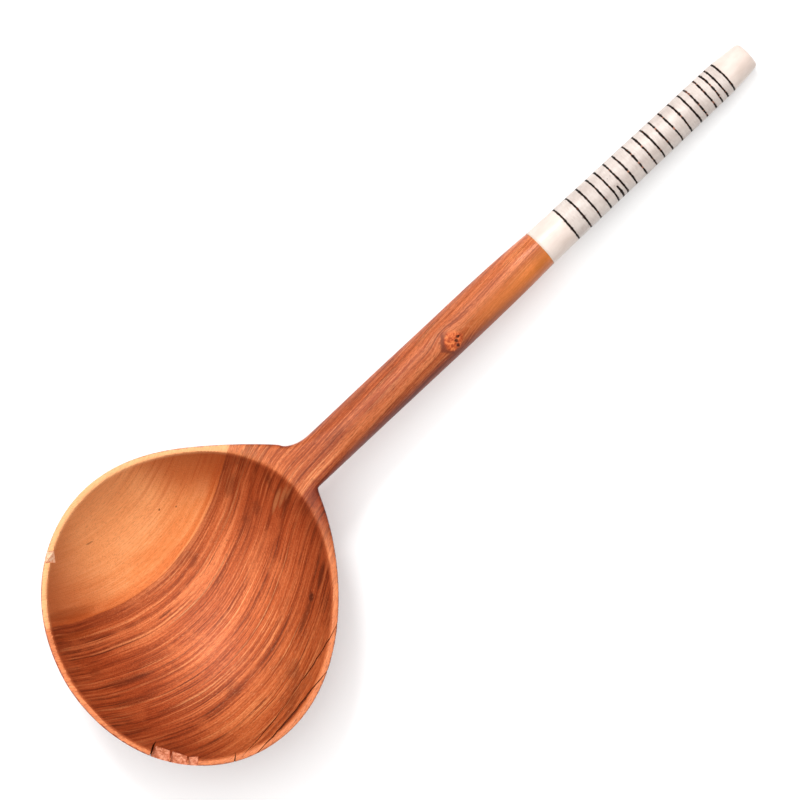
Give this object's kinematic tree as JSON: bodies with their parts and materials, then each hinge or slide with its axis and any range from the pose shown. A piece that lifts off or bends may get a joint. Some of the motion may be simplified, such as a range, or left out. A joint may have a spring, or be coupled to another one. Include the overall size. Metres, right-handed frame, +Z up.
{
  "type": "round wooden serving spoon with bone handle",
  "caption": "Round, deep serving spoon carved from one piece of figured wood, with a round tapering bone handle cut with fine ink-filled rings.",
  "frame": {"origin": "on the table, under the middle of the spoon's length and width, with the spoon lying at rest on its belly and its handle tip", "axes": "+X along the handle from the bowl to the tip, +Z up out of the bowl, +Y to the left of the handle seen from the bowl"},
  "size_m": [0.3019, 0.1024, 0.0397],
  "materials": {
    "olive_wood": "satin",
    "bone": "satin",
    "ring_ink": "matte",
    "adhesive": "gloss"
  },
  "bodies": {
    "root": {"wooden_spoon": "olive_wood", "bone_sleeve": "bone", "bone_end_plug": "bone", "tenon_adhesive": "adhesive", "plug_adhesive": "adhesive", "ring_ink_01": "ring_ink", "ring_ink_02": "ring_ink", "ring_ink_03": "ring_ink", "ring_ink_04": "ring_ink", "ring_ink_05": "ring_ink", "ring_ink_06": "ring_ink", "ring_ink_07": "ring_ink", "ring_ink_08": "ring_ink", "ring_ink_09": "ring_ink", "ring_ink_10": "ring_ink", "ring_ink_11": "ring_ink", "ring_ink_12": "ring_ink", "ring_ink_13": "ring_ink", "ring_ink_14": "ring_ink", "ring_ink_15": "ring_ink", "ring_ink_16": "ring_ink", "ring_ink_17": "ring_ink", "ring_ink_18": "ring_ink", "ring_ink_19": "ring_ink", "part_ring_ink": "ring_ink"}
  },
  "joints": []
}
